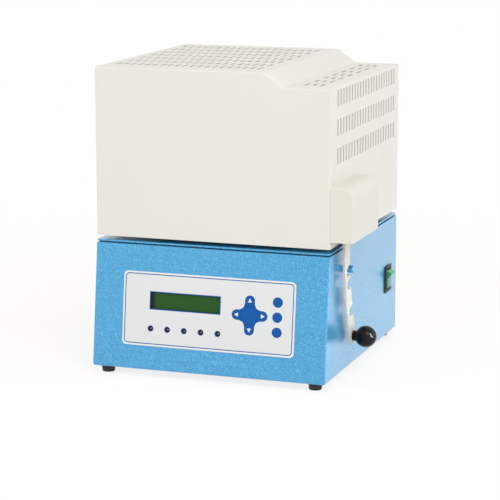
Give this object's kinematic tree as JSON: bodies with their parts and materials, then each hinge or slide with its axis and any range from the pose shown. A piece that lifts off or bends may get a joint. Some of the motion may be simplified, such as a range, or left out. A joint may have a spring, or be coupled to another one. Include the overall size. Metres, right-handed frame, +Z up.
{
  "type": "dental porcelain furnace",
  "caption": "Bench-top firing furnace: hinged slotted hood with a round muffle over a leaning control base, held shut by a notched side lever with a ball knob.",
  "frame": {"origin": "middle of the bounding box's footprint, on the surface the feet stand on", "axes": "+X to the right, +Y to the back, +Z up, seen from the control panel"},
  "size_m": [0.319, 0.3164, 0.355],
  "materials": {
    "hood_enamel": "satin",
    "shell_enamel": "satin",
    "blue_hammertone": "gloss",
    "black_plastic": "gloss",
    "dark_plastic": "matte",
    "rubber_black": "matte",
    "gasket_dark": "matte",
    "overlay_grey": "satin",
    "key_blue": "satin",
    "membrane_white": "matte",
    "display_green": "gloss",
    "led_red": "gloss",
    "led_green": "gloss",
    "rocker_green": "gloss",
    "steel": "satin",
    "bright_steel": "polished",
    "spring_steel": "satin",
    "brass_pin": "satin",
    "aluminium": "satin",
    "iron_core": "matte",
    "copper_wound": "satin",
    "ceramic_white": "matte",
    "fibre_white": "matte",
    "heating_wire": "matte",
    "board_green": "satin"
  },
  "bodies": {
    "hood": {"hood_cover": "hood_enamel", "hood_floor": "steel", "mouth_ring": "ceramic_white", "muffle_tube": "ceramic_white", "insulation_ring": "fibre_white", "heating_coil": "heating_wire", "heater_leads": "heating_wire", "insulation_top": "fibre_white", "muffle_can": "steel", "terminal_block": "ceramic_white", "thermocouple": "ceramic_white", "hood_hinges": "steel", "hood_hinge_screws": "steel", "hinge_backing_strip": "steel", "lever_cover": "shell_enamel", "pivot_bolt": "steel", "pivot_bush": "brass_pin", "pivot_nut": "steel", "friction_washer": "spring_steel"},
    "lever": {"latch_lever": "shell_enamel", "ball_knob": "black_plastic", "knob_stud": "steel", "knob_nut": "steel"},
    "base": {"base_shell": "blue_hammertone", "base_gasket": "gasket_dark", "base_top_plate": "blue_hammertone", "firing_pedestal": "fibre_white", "pedestal_cup": "steel", "seal_ring": "fibre_white", "firing_tray": "ceramic_white", "latch_pin": "blue_hammertone", "control_overlay": "overlay_grey", "membrane_spacer": "membrane_white", "panel_backplate": "aluminium", "display_glass": "display_green", "display_module": "dark_plastic", "status_leds_red": "led_red", "status_leds_green": "led_green", "panel_board": "board_green", "switch_frame": "dark_plastic", "power_inlet": "dark_plastic", "inlet_blades": "bright_steel", "fuse_holder": "dark_plastic", "transformer_core": "iron_core", "transformer_coil": "copper_wound", "power_board": "board_green", "heat_sink": "aluminium", "base_hinges": "steel", "hinge_pins": "bright_steel", "balance_springs": "spring_steel", "feet": "rubber_black", "base_screws": "steel"},
    "arrow_up": {"arrow_key_up": "key_blue"},
    "arrow_down": {"arrow_key_down": "key_blue"},
    "arrow_left": {"arrow_key_left": "key_blue"},
    "arrow_right": {"arrow_key_right": "key_blue"},
    "round_top": {"round_key_top": "key_blue"},
    "round_middle": {"round_key_middle": "key_blue"},
    "round_bottom": {"round_key_bottom": "key_blue"},
    "rocker": {"power_rocker": "rocker_green"}
  },
  "joints": [
    {"name": "hood_tilt", "type": "hinge", "parent": "base", "child": "hood", "pos_m": [-0.01805, 0.15106, 0.158], "axis": [-1, 0, 0], "range_deg": [0, 70]},
    {"name": "lever_swing", "type": "hinge", "parent": "hood", "child": "lever", "pos_m": [0.13045, -0.0955, 0.213], "axis": [1, 0, 0], "range_deg": [0, 8.5]},
    {"name": "rocker_tip", "type": "hinge", "parent": "base", "child": "rocker", "pos_m": [0.12345, 0.09806, 0.0793], "axis": [0, -1, 0], "range_deg": [0, 24]},
    {"name": "arrow_up_press", "type": "slide", "parent": "base", "child": "arrow_up", "axis": [0, 0.9926, -0.1212], "range_m": [0, 0.0004], "stiffness_N_per_m": 800},
    {"name": "arrow_down_press", "type": "slide", "parent": "base", "child": "arrow_down", "axis": [0, 0.9926, -0.1212], "range_m": [0, 0.0004], "stiffness_N_per_m": 800},
    {"name": "arrow_left_press", "type": "slide", "parent": "base", "child": "arrow_left", "axis": [0, 0.9926, -0.1212], "range_m": [0, 0.0004], "stiffness_N_per_m": 800},
    {"name": "arrow_right_press", "type": "slide", "parent": "base", "child": "arrow_right", "axis": [0, 0.9926, -0.1212], "range_m": [0, 0.0004], "stiffness_N_per_m": 800},
    {"name": "round_top_press", "type": "slide", "parent": "base", "child": "round_top", "axis": [0, 0.9926, -0.1212], "range_m": [0, 0.0004], "stiffness_N_per_m": 800},
    {"name": "round_middle_press", "type": "slide", "parent": "base", "child": "round_middle", "axis": [0, 0.9926, -0.1212], "range_m": [0, 0.0004], "stiffness_N_per_m": 800},
    {"name": "round_bottom_press", "type": "slide", "parent": "base", "child": "round_bottom", "axis": [0, 0.9926, -0.1212], "range_m": [0, 0.0004], "stiffness_N_per_m": 800}
  ]
}
